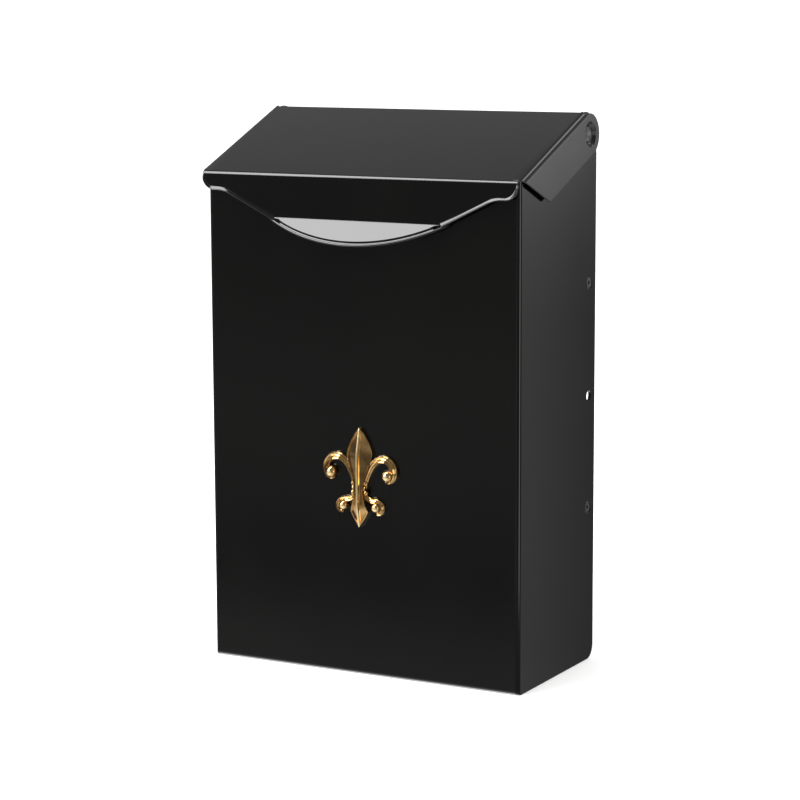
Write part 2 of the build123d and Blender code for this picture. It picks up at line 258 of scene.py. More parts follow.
def sheet_piece(name, bm, body, slot, node, outward):
    """Joins both halves, points the outside outwards and gives the sheet its thickness."""
    bmesh.ops.remove_doubles(bm, verts=bm.verts[:], dist=2e-6)
    bmesh.ops.recalc_face_normals(bm, faces=bm.faces[:])
    probe = max(bm.faces, key=lambda f: f.calc_area())
    if probe.normal.dot(outward(probe)) < 0:
        bmesh.ops.reverse_faces(bm, faces=bm.faces[:])
    piece = as_piece(name, bm, body, slot, node)
    thickness = piece.modifiers.new("sheet_thickness", "SOLIDIFY")
    thickness.thickness = SHEET
    thickness.offset = -1
    thickness.use_even_offset = True
    round_edges(piece)
    return piece


def round_edges(piece, width=CUT_EDGE_ROUND, segments=2):
    rounding = piece.modifiers.new("cut_edges", "BEVEL")
    rounding.width = width
    rounding.segments = segments
    rounding.limit_method = "ANGLE"
    rounding.angle_limit = math.radians(40)
    rounding.use_clamp_overlap = False
    shading = piece.modifiers.new("flat_faces_stay_flat", "WEIGHTED_NORMAL")
    shading.mode = "FACE_AREA"
    shading.weight = 100


def as_piece(name, bm, body, slot, *nodes):
    mesh = bpy.data.meshes.new(name)
    bm.to_mesh(mesh)
    bm.free()
    mesh.polygons.foreach_set("use_smooth", [True] * len(mesh.polygons))
    piece = bpy.data.objects.new(name, mesh)
    bpy.context.scene.collection.objects.link(piece)
    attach(piece, body)
    if nodes:
        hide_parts(*nodes)
    mesh.materials.append(finishes[slot])
    return piece


# ---- finishes ----

def nodes_of(name):
    material = bpy.data.materials.new(name)
    material.use_nodes = True
    tree = material.node_tree
    return material, tree, tree.nodes["Principled BSDF"]


def noise(tree, scale, detail=2.0, roughness=0.5, stretch=None):
    """Noise over the piece's own place, in cells per metre."""
    where = tree.nodes.new("ShaderNodeTexCoord")
    source = where.outputs["Object"]
    if stretch:
        mapping = tree.nodes.new("ShaderNodeMapping")
        mapping.inputs["Scale"].default_value = stretch
        tree.links.new(source, mapping.inputs["Vector"])
        source = mapping.outputs["Vector"]
    texture = tree.nodes.new("ShaderNodeTexNoise")
    texture.inputs["Scale"].default_value = scale
    texture.inputs["Detail"].default_value = detail
    texture.inputs["Roughness"].default_value = roughness
    tree.links.new(source, texture.inputs["Vector"])
    return texture.outputs["Fac"]


def spread(tree, value, low, high, start=0.3, end=0.7):
    """Maps a noise to a range."""
    step = tree.nodes.new("ShaderNodeMapRange")
    step.inputs["From Min"].default_value = start
    step.inputs["From Max"].default_value = end
    step.inputs["To Min"].default_value = low
    step.inputs["To Max"].default_value = high
    tree.links.new(value, step.inputs["Value"])
    return step.outputs["Result"]


def two_tones(tree, value, dark, light, start=0.35, end=0.65):
    ramp = tree.nodes.new("ShaderNodeValToRGB")
    ramp.color_ramp.elements[0].position = start
    ramp.color_ramp.elements[0].color = (*dark, 1)
    ramp.color_ramp.elements[1].position = end
    ramp.color_ramp.elements[1].color = (*light, 1)
    tree.links.new(value, ramp.inputs["Fac"])
    return ramp.outputs["Color"]


def bump(tree, height, depth, strength=1.0, under=None):
    node = tree.nodes.new("ShaderNodeBump")
    node.inputs["Distance"].default_value = depth
    node.inputs["Strength"].default_value = strength
    tree.links.new(height, node.inputs["Height"])
    if under:
        tree.links.new(under, node.inputs["Normal"])
    return node.outputs["Normal"]


def gloss_black_paint():
    """Baked gloss enamel on steel: almost a mirror, with a faint orange peel and softer patches."""
    material, tree, shader = nodes_of("gloss_black_paint")
    tone = two_tones(tree, noise(tree, 9.0), (0.0005, 0.0005, 0.0005), (0.0010, 0.0010, 0.0008))
    tree.links.new(tone, shader.inputs["Base Color"])
    tree.links.new(spread(tree, noise(tree, 35.0, 4.0), 0.075, 0.11), shader.inputs["Roughness"])
    shader.inputs["IOR"].default_value = 1.5
    panel = bump(tree, noise(tree, 12.0, 1.0), 0.00003)
    peel = bump(tree, noise(tree, 520.0, 2.0), 0.0000016, under=panel)
    tree.links.new(peel, shader.inputs["Normal"])
    return material


def black_fitting(name, roughness, dark, pale):
    """Blackened steel fitting, a little duller than the paint, mottled lighter and darker at random."""
    material, tree, shader = nodes_of(name)
    tone = two_tones(tree, noise(tree, 700.0, 3.0), (dark, dark, dark), (pale, pale, 0.95 * pale))
    tree.links.new(tone, shader.inputs["Base Color"])
    tree.links.new(
        spread(tree, noise(tree, 1400.0, 3.0), roughness - 0.05, roughness + 0.08),
        shader.inputs["Roughness"],
    )
    shader.inputs["IOR"].default_value = 1.55
    tree.links.new(bump(tree, noise(tree, 1500.0, 2.0), 0.000004), shader.inputs["Normal"])
    return material


def polished_gold():
    """Lacquered gold casting: deep gold faces, with painted highlights: a pale, rougher band down the spine
    and pale spots on the balls.
    """
    material, tree, shader = nodes_of("polished_gold")
    shader.inputs["Metallic"].default_value = 1.0
    shader.inputs["Coat Weight"].default_value = 1.0
    shader.inputs["Coat Roughness"].default_value = 0.04
    tone = two_tones(tree, noise(tree, 180.0, 2.0), (0.30, 0.155, 0.036), (0.56, 0.35, 0.11))
    where = tree.nodes.new("ShaderNodeTexCoord")
    split = tree.nodes.new("ShaderNodeSeparateXYZ")
    tree.links.new(where.outputs["Object"], split.inputs[0])
    # painted highlight: the colour is paled along the spine, by distance from the middle
    from_spine = tree.nodes.new("ShaderNodeMath")
    from_spine.operation = "ABSOLUTE"
    tree.links.new(split.outputs["X"], from_spine.inputs[0])
    spine_highlight = tree.nodes.new("ShaderNodeMapRange")
    spine_highlight.inputs["From Min"].default_value = SPINE_HIGHLIGHT_BAND[0]
    spine_highlight.inputs["From Max"].default_value = SPINE_HIGHLIGHT_BAND[1]
    spine_highlight.inputs["To Min"].default_value = 1.0
    spine_highlight.inputs["To Max"].default_value = 0.0
    tree.links.new(from_spine.outputs[0], spine_highlight.inputs["Value"])
    flat = tree.nodes.new("ShaderNodeCombineXYZ")
    tree.links.new(from_spine.outputs[0], flat.inputs["X"])
    tree.links.new(split.outputs["Z"], flat.inputs["Z"])
    painted_highlight = spine_highlight.outputs["Result"]
    # painted highlight: a pale spot on each ball, by distance from a point just below its middle
    for across, height in BALL_HIGHLIGHT_PLACES:
        away = tree.nodes.new("ShaderNodeVectorMath")
        away.operation = "DISTANCE"
        tree.links.new(flat.outputs[0], away.inputs[0])
        away.inputs[1].default_value = (across * MM, 0, emblem_middle + height * MM)
        ball_highlight = tree.nodes.new("ShaderNodeMapRange")
        ball_highlight.inputs["From Min"].default_value = BALL_HIGHLIGHT_SPOT[0]
        ball_highlight.inputs["From Max"].default_value = BALL_HIGHLIGHT_SPOT[1]
        ball_highlight.inputs["To Min"].default_value = 1.0
        ball_highlight.inputs["To Max"].default_value = 0.0
        tree.links.new(away.outputs["Value"], ball_highlight.inputs["Value"])
        most = tree.nodes.new("ShaderNodeMath")
        most.operation = "MAXIMUM"
        tree.links.new(painted_highlight, most.inputs[0])
        tree.links.new(ball_highlight.outputs["Result"], most.inputs[1])
        painted_highlight = most.outputs[0]
    colour = tree.nodes.new("ShaderNodeMix")
    colour.data_type = "RGBA"
    tree.links.new(painted_highlight, colour.inputs["Factor"])
    tree.links.new(tone, colour.inputs["A"])
    # pale gold colour of the painted highlights; they are also made rougher below
    colour.inputs["B"].default_value = (0.95, 0.74, 0.38, 1)
    tree.links.new(colour.outputs["Result"], shader.inputs["Base Color"])
    gloss = tree.nodes.new("ShaderNodeMix")
    tree.links.new(painted_highlight, gloss.inputs["Factor"])
    tree.links.new(spread(tree, noise(tree, 420.0, 3.0), 0.05, 0.11), gloss.inputs["A"])
    gloss.inputs["B"].default_value = 0.36
    tree.links.new(gloss.outputs["Result"], shader.inputs["Roughness"])
    tree.links.new(bump(tree, noise(tree, 650.0, 2.0), 0.00001), shader.inputs["Normal"])
    return material


def spring_steel():
    """Bright rolled spring steel with fine drawing lines."""
    material, tree, shader = nodes_of("spring_steel")
    shader.inputs["Metallic"].default_value = 1.0
    lines = noise(tree, 900.0, 3.0, stretch=(0.08, 1.0, 1.0))
    tree.links.new(two_tones(tree, lines, (0.33, 0.34, 0.36), (0.55, 0.55, 0.56)),
                   shader.inputs["Base Color"])
    tree.links.new(spread(tree, lines, 0.25, 0.42), shader.inputs["Roughness"])
    tree.links.new(bump(tree, lines, 0.000015), shader.inputs["Normal"])
    return material


finishes = {
    "black_gloss_paint": gloss_black_paint(),
    "black_hinge_studs": black_fitting("black_hinge_studs", 0.3, 0.03, 0.06),
    "black_rivets": black_fitting("black_rivets", 0.22, 0.006, 0.02),
    "polished_gold": polished_gold(),
    "spring_steel": spring_steel(),
}


# ---- body shell ----

def mirror_half(bm):
    bmesh.ops.mirror(
        bm, geom=bm.verts[:] + bm.edges[:] + bm.faces[:], matrix=Matrix.Identity(4),
        merge_dist=1e-6, axis="X",
    )


def make_body_shell():
    bm = bmesh.new()
    top_gap = SHEET + LID_GAP
    reach = HINGE_DROP - top_gap
    away = math.hypot(wall_y - hinge.y, SHOULDER_DROP)
    start = math.pi / 2 + LID_SLOPE
    end = math.acos(reach / away) - math.atan2(SHOULDER_DROP, wall_y - hinge.y)
    half_turn = (start - end) / 2
    peak = reach / math.cos(half_turn)
    bow = (start + end) / 2
    fold_start_y = front_y + FRONT_FOLD

    # right side: (y, z), seen from outside
    side = plate(bm, [
        (fold_start_y, bottom_z, 0),
        (wall_y, bottom_z, REAR_CORNER),
        (wall_y, hinge.z - SHOULDER_DROP, 0),
        (hinge.y + peak * math.cos(bow), hinge.z + peak * math.sin(bow), reach),
        (fold_start_y, slope_z(fold_start_y, top_gap), 0),
    ], placing((0, 1, 0), (0, 0, 1), (side_x, 0, 0)))
    front_edge = edges_at(bm, lambda p: near(p.y, fold_start_y))
    fold(bm, front_edge, (side_x - FRONT_FOLD, fold_start_y, 0), (0, 0, 1), -math.pi / 2)
    strip = [f for f in bm.faces if f is not side]
    strip = trim(bm, strip, (0, front_y, slope_z(front_y, top_gap)),
                 (0, -math.sin(LID_SLOPE), math.cos(LID_SLOPE)))
    hub = Vector((0, front_y + BOTTOM_FOLD, bottom_z + BOTTOM_FOLD))
    for degrees in BOTTOM_CUTS:
        a = math.radians(degrees)
        down = Vector((0, -math.cos(a), -math.sin(a)))
        strip = trim(bm, strip, hub + down * BOTTOM_FOLD, down)
    holes = [(0, SIDE_HOLE), (-RIVET_STEP, RIVET_SINK), (RIVET_STEP, RIVET_SINK)]
    drill(bm, side, [(Vector((side_x, wall_y - RIVET_BACK, z)), radius) for z, radius in holes])

    # front, with its hem and the bottom folded on from it
    panel_x = side_x - FRONT_FOLD
    front_top = slope_z(front_y, top_gap)
    hem_x = panel_x - HEM_INSET
    hem_z = front_top - HEM_RADIUS
    plate(bm, [
        (0, bottom_z + BOTTOM_FOLD, 0), (panel_x, bottom_z + BOTTOM_FOLD, 0),
        (panel_x, front_top, 0), (hem_x, front_top, 0), (hem_x, hem_z, 0), (0, hem_z, 0),
    ], placing((1, 0, 0), (0, 0, 1), (0, front_y, 0)))
    hem_edge = edges_at(bm, lambda p: near(p.y, front_y) and near(p.z, hem_z))
    turned = fold(bm, hem_edge, (0, front_y + HEM_RADIUS, hem_z), (1, 0, 0), -math.pi,
                  math.radians(22.5))
    run_on(bm, turned, (0, 0, HEM_RADIUS - HEM_HEIGHT))

    low_edge = edges_at(
        bm, lambda p: near(p.y, front_y) and near(p.z, bottom_z + BOTTOM_FOLD)
        and p.x < panel_x + 1e-6
    )
    fold(bm, low_edge, hub, (1, 0, 0), math.pi / 2)
    floor_front = front_y + BOTTOM_FOLD
    floor_rear = pan_low.y - BOTTOM_FOLD
    tab_x = side_x - SHEET
    tab_fold_x = tab_x - BOTTOM_FOLD
    relief = BEND_RELIEF
    plate(bm, [
        (0, floor_rear, 0), (tab_fold_x - relief, floor_rear, 0),
        (tab_fold_x - relief, floor_rear - relief, 0), (tab_fold_x, floor_rear - relief, 0),
        (tab_fold_x, floor_front + relief, 0), (panel_x, floor_front + relief, 0),
        (panel_x, floor_front, 0), (0, floor_front, 0),
    ], placing((1, 0, 0), (0, 1, 0), (0, 0, bottom_z)))
    side_edge = edges_at(bm, lambda p: near(p.z, bottom_z) and near(p.x, tab_fold_x))
    turned = fold(bm, side_edge, (tab_fold_x, 0, bottom_z + BOTTOM_FOLD), (0, 1, 0), -math.pi / 2)
    run_on(bm, turned, (0, 0, TAB_HEIGHT - BOTTOM_FOLD))
    rear_edge = edges_at(bm, lambda p: near(p.z, bottom_z) and near(p.y, floor_rear))
    turned = fold(bm, rear_edge, (0, floor_rear, bottom_z + BOTTOM_FOLD), (1, 0, 0), math.pi / 2)
    run_on(bm, turned, (0, 0, TAB_HEIGHT - BOTTOM_FOLD))
    mirror_half(bm)
    shell = sheet_piece("body_shell_sheet", bm, "box", "black_gloss_paint", "body_shell",
                        lambda f: f.calc_center_median() - Vector((0, hinge.y, 0)))
    thickness = shell.modifiers["sheet_thickness"]
    thickness.solidify_mode = "NON_MANIFOLD"
    thickness.nonmanifold_thickness_mode = "FIXED"
    return shell


# ---- back panel ----

def make_back_panel():
    bm = bmesh.new()
    outline = plate(bm, [
        (pan_low.x, pan_low.z, PAN_CORNER), (pan_high.x, pan_low.z, PAN_CORNER),
        (pan_high.x, pan_high.z, PAN_CORNER), (pan_low.x, pan_high.z, PAN_CORNER),
    ], placing((1, 0, 0), (0, 0, 1), (0, pan_low.y, 0)))
    rim = list(outline.edges)
    run_on(bm, rim, (0, pan_high.y - pan_low.y, 0))
    bmesh.ops.bevel(bm, geom=rim, offset=BOTTOM_FOLD, offset_type="OFFSET", segments=6,
                    profile=0.5, affect="EDGES", material=-1, clamp_overlap=False)
    web = max(bm.faces, key=lambda f: f.calc_area())
    drill(bm, web, [
        (Vector((sx * SCREW_ACROSS, pan_low.y, sz * SCREW_UP)), SCREW_HOLE)
        for sx in (-1, 1) for sz in (-1, 1)
    ])
    for hand in (-1, 1):
        flange = max(
            (f for f in bm.faces if near(f.calc_center_median().x, hand * pan_high.x)),
            key=lambda f: f.calc_area(),
        )
        centre = Vector((hand * pan_high.x, wall_y - RIVET_BACK, 0))
        drill(bm, flange, [(centre, SIDE_HOLE)])
    return sheet_piece("back_panel_pan", bm, "box", "black_gloss_paint", "back_panel",
                       lambda f: Vector((0, -1, 0)))


# ---- lid ----

def make_lid():
    bm = bmesh.new()
    up_slope = Vector((0, math.cos(LID_SLOPE), math.sin(LID_SLOPE)))
    lid_place = placing((1, 0, 0), up_slope, (0, lid_rear_y, lid_rear_z))
    off_lid = lid_place.to_3x3().col[2]
    front_turn = math.pi / 2 - LID_SLOPE
    rear_turn = math.pi / 2 + LID_SLOPE
    front_take = LID_FOLD * math.tan(front_turn / 2)
    rear_take = REAR_FOLD * math.tan(rear_turn / 2)
    top_x = flap_x - LID_SIDE_FOLD
    flange_x = side_x - SHEET - 1.5 * MM
    side_end = -(lid_length - LID_FOLD)
    front_end = -(lid_length - front_take)
    plate(bm, [
        (0, front_end, 0), (lip_x - LIP_CURL, front_end, 0),
        (lip_x - LIP_CURL * 2 / 3, front_end, 0), (lip_x - LIP_CURL / 3, front_end, 0),
        (lip_x, front_end, 0), (lip_x, side_end, 0), (top_x, side_end, 0),
        (top_x, -rear_take, 0), (flange_x, -rear_take, 0), (0, -rear_take, 0),
    ], lid_place)

    def on_lid(x, y, z):
        return lid_place @ Vector((x, y, z))

    to_lid = lid_place.inverted()

    # right side fold and flap
    ear_top = HINGE_DROP - LID_SIDE_FOLD
    ear_meets = math.sqrt(EAR_RADIUS ** 2 - ear_top ** 2)
    corner = next(v for v in bm.verts if (v.co - on_lid(top_x, -rear_take, 0)).length < 1e-6)
    for y in (0, ear_meets):
        vert = bm.verts.new(on_lid(top_x, y, 0))
        bm.edges.new((corner, vert))
        corner = vert
    side_edge = edges_at(bm, lambda p: near(p.x, top_x))
    done = set(bm.faces)
    fold(bm, side_edge, on_lid(top_x, 0, -LID_SIDE_FOLD), up_slope, math.pi / 2)
    strip = [f for f in bm.faces if f not in done]
    cut = (up_slope * -1 - off_lid).normalized()
    trim(bm, strip, on_lid(0, side_end, 0), cut)
    for vert in bm.verts:
        place = to_lid @ vert.co
        if near(place.y, ear_meets):
            under = HINGE_DROP + place.z
            place.y = math.sqrt(max(0, EAR_RADIUS ** 2 - under ** 2))
            vert.co = lid_place @ place
    flap_front = side_end + LID_SIDE_FOLD
    ear_turn = math.atan2(ear_top, ear_meets)
    ear_corner = EAR_RADIUS * math.tan(ear_turn / 2) - HINGE_DROP
    flap = plate(bm, [
        (EAR_RADIUS, -FLAP_DEPTH, EAR_RADIUS), (EAR_RADIUS, ear_corner, EAR_RADIUS),
        (ear_meets, -LID_SIDE_FOLD, 0), (0, -LID_SIDE_FOLD, 0),
        (-rear_take, -LID_SIDE_FOLD, 0), (flap_front, -LID_SIDE_FOLD, 0),
        (side_end + FLAP_DEPTH, -FLAP_DEPTH, FLAP_CORNER),
    ], lid_place @ placing((0, 1, 0), (0, 0, 1), (flap_x, 0, 0)))
    ring = drill(bm, flap, [(hinge + Vector((flap_x, 0, 0)), EAR_DIMPLE)], EAR_SEGMENTS)[0]
    radius = EAR_DIMPLE
    sunk = 0.0
    for step in range(1, DISH_STEPS + 1):
        share = step / DISH_STEPS
        now = EAR_DIMPLE + (EAR_SEAT - EAR_DIMPLE) * share
        deep = EAR_SINK * (1 - math.cos(math.pi * share)) / 2
        ring = run_on(bm, ring, (sunk - deep, 0, 0))
        shrink(bm, ring, now / radius)
        radius = now
        sunk = deep
    seat = run_on(bm, ring, (0, 0, 0))
    shrink(bm, seat, EAR_HOLE / EAR_SEAT)

    # the flap leans in a little towards its fold; the dish's seat stays put
    for vert in bm.verts:
        place = to_lid @ vert.co
        if place.x > top_x + 1e-6:
            turned = (place.x - top_x) / LID_SIDE_FOLD
            out = (vert.co.yz - hinge.yz).length - EAR_SEAT
            clear = min(1.0, max(0.0, out / (EAR_DIMPLE - EAR_SEAT)))
            vert.co.x -= (place.z + FLAP_DEPTH) * FLAP_LEAN * min(turned, 1.0) * clear

    # front fold, lip, bend and finger pull
    front_edge = edges_at(bm, lambda p: near((to_lid @ p).y, front_end))
    fold(bm, front_edge, on_lid(0, front_end, -LID_FOLD), (1, 0, 0), front_turn)
    lip_top = lid_front_z - front_take
    lip_low = lid_front_z - LIP_END_HEIGHT
    bend_z = lid_front_z - PULL_BEND_DROP
    bend_take = LID_FOLD * math.tan(PULL_TILT / 2)
    shoulder_x = PULL_HALF_WIDTH + (lip_low - bend_z) / math.tan(LIP_DIP)
    foot_z = bend_z + bend_take
    foot_x = PULL_HALF_WIDTH + bend_take / math.tan(LIP_DIP)
    # the lip's lower edge is turned out a little, so its flat stops short of the outline
    rise = LIP_CURL * math.tan(LIP_DIP / 2)
    foot_in = foot_x - LIP_CURL / math.sin(LIP_DIP)
    lip = plate(bm, [
        (0, foot_z, 0), (foot_in, foot_z, 0),
        (shoulder_x - rise, lip_low + LIP_CURL, LIP_SHOULDER + LIP_CURL),
        (lip_x - LIP_CURL, lip_low + LIP_CURL, LIP_END_RADIUS - LIP_CURL),
        (lip_x - LIP_CURL, lip_top, 0), (0, lip_top, 0),
    ], placing((1, 0, 0), (0, 0, 1), (0, lip_y, 0)))
    loops = [l for l in lip.loops
             if not near(l.vert.co.x, 0) or not near(l.link_loop_next.vert.co.x, 0)]
    curl_loops = [l for l in loops if l.edge.verts[0].co.x + l.edge.verts[1].co.x > 2 * foot_in + 1e-5
                  and l.edge.verts[0].co.z + l.edge.verts[1].co.z < 2 * lip_top - 1e-5]
    curl(bm, [l.edge for l in curl_loops], lip, lip_top)
    foot_edge = edges_at(bm, lambda p: near(p.y, lip_y) and near(p.z, foot_z))
    edge_radius = (PULL_HALF_WIDTH ** 2 + PULL_HEIGHT ** 2) / (2 * PULL_HEIGHT)
    flat_radius = edge_radius - sum(out for out, _ in PULL_STEPS)
    bend_end = fold(bm, foot_edge, (0, lip_y - LID_FOLD, foot_z), (1, 0, 0), -PULL_TILT)
    bend_corner = max((v for e in bend_end for v in e.verts), key=lambda v: v.co.x)
    down_pull = Vector((0, -math.sin(PULL_TILT), -math.cos(PULL_TILT)))
    pull_place = placing((1, 0, 0), down_pull * -1, (0, lip_y, bend_z))
    disc = bmesh.ops.create_circle(
        bm, cap_ends=True, segments=300, radius=flat_radius,
        matrix=pull_place @ Matrix.Translation((0, edge_radius - PULL_HEIGHT, 0)),
    )
    faces = once(f for v in disc["verts"] for f in v.link_faces)
    faces = trim(bm, faces, pull_place @ Vector((0, -bend_take, 0)), down_pull * -1)
    faces = trim(bm, faces, (0, 0, 0), (-1, 0, 0))
    chord = [v for f in faces if f.is_valid for v in f.verts if near(v.co.z, bend_corner.co.z)]
    bend_corner.co.x = max(v.co.x for v in chord)
    middle = pull_place @ Vector((0, edge_radius - PULL_HEIGHT, 0))
    off_pull = pull_place.to_3x3().col[2]
    edges = edges_at(bm, lambda p: near((p - middle).length, flat_radius)
                     and near((p - middle).dot(off_pull), 0))
    for out, back in PULL_STEPS:
        edges = run_on(bm, edges, off_pull * -back)
        for vert in once(v for e in edges for v in e.verts):
            flat = vert.co - middle
            flat -= off_pull * flat.dot(off_pull)
            vert.co += flat.normalized() * out

    # rear fold and flange
    rear_edge = edges_at(
        bm, lambda p: near((to_lid @ p).y, -rear_take) and near((to_lid @ p).z, 0)
        and p.x < flange_x + 1e-6
    )
    stub_edge = edges_at(
        bm, lambda p: near((to_lid @ p).y, -rear_take) and near((to_lid @ p).z, 0)
        and flange_x - 1e-6 < p.x < top_x + 1e-6
    )
    fold(bm, stub_edge, on_lid(0, -rear_take, -REAR_FOLD), (1, 0, 0), -math.radians(45))
    turned = fold(bm, rear_edge, on_lid(0, -rear_take, -REAR_FOLD), (1, 0, 0), -rear_turn)
    run_on(bm, turned, (0, 0, rear_take - REAR_FLANGE))
    mirror_half(bm)
    lid = sheet_piece("lid_sheet", bm, "lid", "black_gloss_paint", "lid",
                      lambda f: Vector((0, -0.4, 0.9)))
    lid.modifiers["cut_edges"].width = LID_EDGE_ROUND
    lid.modifiers["cut_edges"].segments = 3
    return lid


def curl(bm, edges, flat, top):
    """Turns the lip's free edge outwards in three small bends."""
    outward = {}
    for vert in once(v for e in edges for v in e.verts):
        sides = [e for e in vert.link_edges if e in edges]
        push = Vector()
        for edge in sides:
            along = (edge.verts[1].co - edge.verts[0].co).normalized()
            across = along.cross(Vector((0, 1, 0)))
            if across.dot(edge.verts[0].co - flat.calc_center_median()) < 0:
                across.negate()
            push += across
        push.normalize()
        outward[tuple(round(c, 7) for c in vert.co)] = push
    for degrees in CURL_BENDS:
        made = bmesh.ops.extrude_edge_only(bm, edges=edges)["geom"]
        verts = [g for g in made if isinstance(g, bmesh.types.BMVert)]
        edges = [g for g in made if isinstance(g, bmesh.types.BMEdge) and
                 all(v in verts for v in g.verts)]
        moved = {}
        for vert in verts:
            push = outward[tuple(round(c, 7) for c in vert.co)]
            fade = min(1.0, (top - vert.co.z) / LIP_CURL_FADE)
            out = Vector((0, -math.tan(math.radians(degrees)) * fade, 0))
            vert.co += (push + out) * LIP_CURL / len(CURL_BENDS)
            moved[tuple(round(c, 7) for c in vert.co)] = push
        outward = moved


def shrink(bm, edges, share):
    """Draws a ring round the hinge in towards its middle."""
    verts = once(v for e in edges for v in e.verts)
    bmesh.ops.scale(bm, vec=(1, share, share), verts=verts,
                    space=Matrix.Translation((0, -hinge.y, -hinge.z)))


def make_pull_rim():
    """The rolled rim of the finger pull, a bead with round ends."""
    bm = bmesh.new()
    edge_radius = (PULL_HALF_WIDTH ** 2 + PULL_HEIGHT ** 2) / (2 * PULL_HEIGHT)
    down_pull = Vector((0, -math.sin(PULL_TILT), -math.cos(PULL_TILT)))
    bend_z = lid_front_z - PULL_BEND_DROP
    pull_place = placing((1, 0, 0), down_pull * -1, (0, lip_y, bend_z))
    off_pull = pull_place.to_3x3().col[2]
    middle = pull_place @ Vector((0, edge_radius - PULL_HEIGHT, 0))
    middle -= off_pull * (SHEET / 2 + sum(back for _, back in PULL_STEPS))
    half_span = math.asin(PULL_HALF_WIDTH / edge_radius)
    lowest = middle + down_pull * edge_radius
    made = bmesh.ops.create_circle(bm, segments=24, radius=RIM_RADIUS,
                                   matrix=Matrix.Translation(lowest) @ placing((0, 1, 0), (0, 0, 1)))
    ring = once(e for v in made["verts"] for e in v.link_edges)
    bmesh.ops.rotate(bm, cent=middle, matrix=Matrix.Rotation(-half_span, 3, off_pull),
                     verts=made["verts"])
    ends = [ring, fold(bm, ring, middle, off_pull, 2 * half_span, math.radians(1))]
    for edges in ends:
        verts = once(v for e in edges for v in e.verts)
        centre = sum((v.co for v in verts), Vector()) / len(verts)
        outward = centre - sum(
            (w.co for w in once(w for v in verts for e in v.link_edges for w in e.verts)
             if w not in verts),
            Vector(),
        ) / len(verts)
        close_round(bm, edges, centre, outward.normalized(), RIM_RADIUS)
    bmesh.ops.recalc_face_normals(bm, faces=bm.faces[:])
    return as_piece("lid_pull_rim", bm, "lid", "black_gloss_paint")


def close_round(bm, edges, centre, outward, radius, steps=5):
    """Closes a round bar's open end with a half ball."""
    was = 0.0
    for step in range(1, steps + 1):
        angle = math.pi / 2 * step / steps
        edges = run_on(bm, edges, outward * radius * (math.sin(angle) - math.sin(was)))
        verts = once(v for e in edges for v in e.verts)
        place = Matrix.Translation(-(centre + outward * radius * math.sin(angle)))
        share = math.cos(angle) / math.cos(was)
        if step == steps:
            bmesh.ops.pointmerge(bm, verts=verts, merge_co=centre + outward * radius)
        else:
            bmesh.ops.scale(bm, vec=(share, share, share), verts=verts, space=place)
        was = angle


# ---- turned fittings ----

def turned_piece(name, outline, hand, centre, body, slot, node, axis=(1, 0, 0), segments=64):
    """A lathe-turned fitting from (radius, distance along the axis) points."""
    bm = bmesh.new()
    along = Vector(axis) * hand
    out = Vector((0, 0, 1))
    verts = [bm.verts.new(Vector(centre) + out * r + along * d) for r, d in outline]
    edges = [bm.edges.new(pair) for pair in zip(verts, verts[1:])]
    if outline[0][0] > 0 and outline[-1][0] > 0:
        edges.append(bm.edges.new((verts[-1], verts[0])))
    bmesh.ops.spin(bm, geom=verts + edges, cent=centre, axis=axis, angle=2 * math.pi,
                   steps=segments, use_merge=True)
    bmesh.ops.remove_doubles(bm, verts=bm.verts[:], dist=1e-6)
    bmesh.ops.recalc_face_normals(bm, faces=bm.faces[:])
    piece = as_piece(name, bm, body, slot, node)
    round_edges(piece, 0.1 * MM, 2)
    return piece


def make_hinge_stud(hand, side_name):
    head, rise, land = 3.42 * MM, 2.1 * MM, 0.95 * MM
    ball = (head ** 2 + (rise - land) ** 2) / (2 * (rise - land))
    widest = math.asin(head / ball)
    dome = [(ball * math.sin(widest * k / 8), rise - ball * (1 - math.cos(widest * k / 8)))
            for k in range(9)]
    outline = dome + [(head, 0), (2.0 * MM, 0), (2.0 * MM, -SHEET), (3.2 * MM, -SHEET),
                      (3.0 * MM, -SHEET - 0.6 * MM), (2.2 * MM, -SHEET - 0.9 * MM),
                      (0, -SHEET - 0.9 * MM)]
    centre = Vector((hand * side_x, hinge.y, hinge.z))
    turned_piece(f"hinge_stud_{side_name}_domed", outline, hand, centre, "box",
                 "black_hinge_studs", f"hinge_stud_{side_name}")


def make_rivet(hand, side_name, end, height):
    outline = [
        (0.8 * MM, -0.35 * MM), (1.15 * MM, -0.28 * MM), (2.1 * MM, -0.2 * MM),
        (2.7 * MM, -0.3 * MM), (2.75 * MM, -0.42 * MM), (1.9 * MM, -SHEET),
        (1.6 * MM, -2 * SHEET), (2.5 * MM, -2 * SHEET), (2.5 * MM, -2.4 * MM),
        (1.7 * MM, -3.0 * MM), (0.8 * MM, -3.0 * MM),
    ]
    centre = Vector((hand * side_x, wall_y - RIVET_BACK, height))
    turned_piece(f"back_rivet_{side_name}_{end}_set", outline, hand, centre, "box",
                 "black_rivets", f"back_rivet_{side_name}_{end}")


# ---- emblem ----

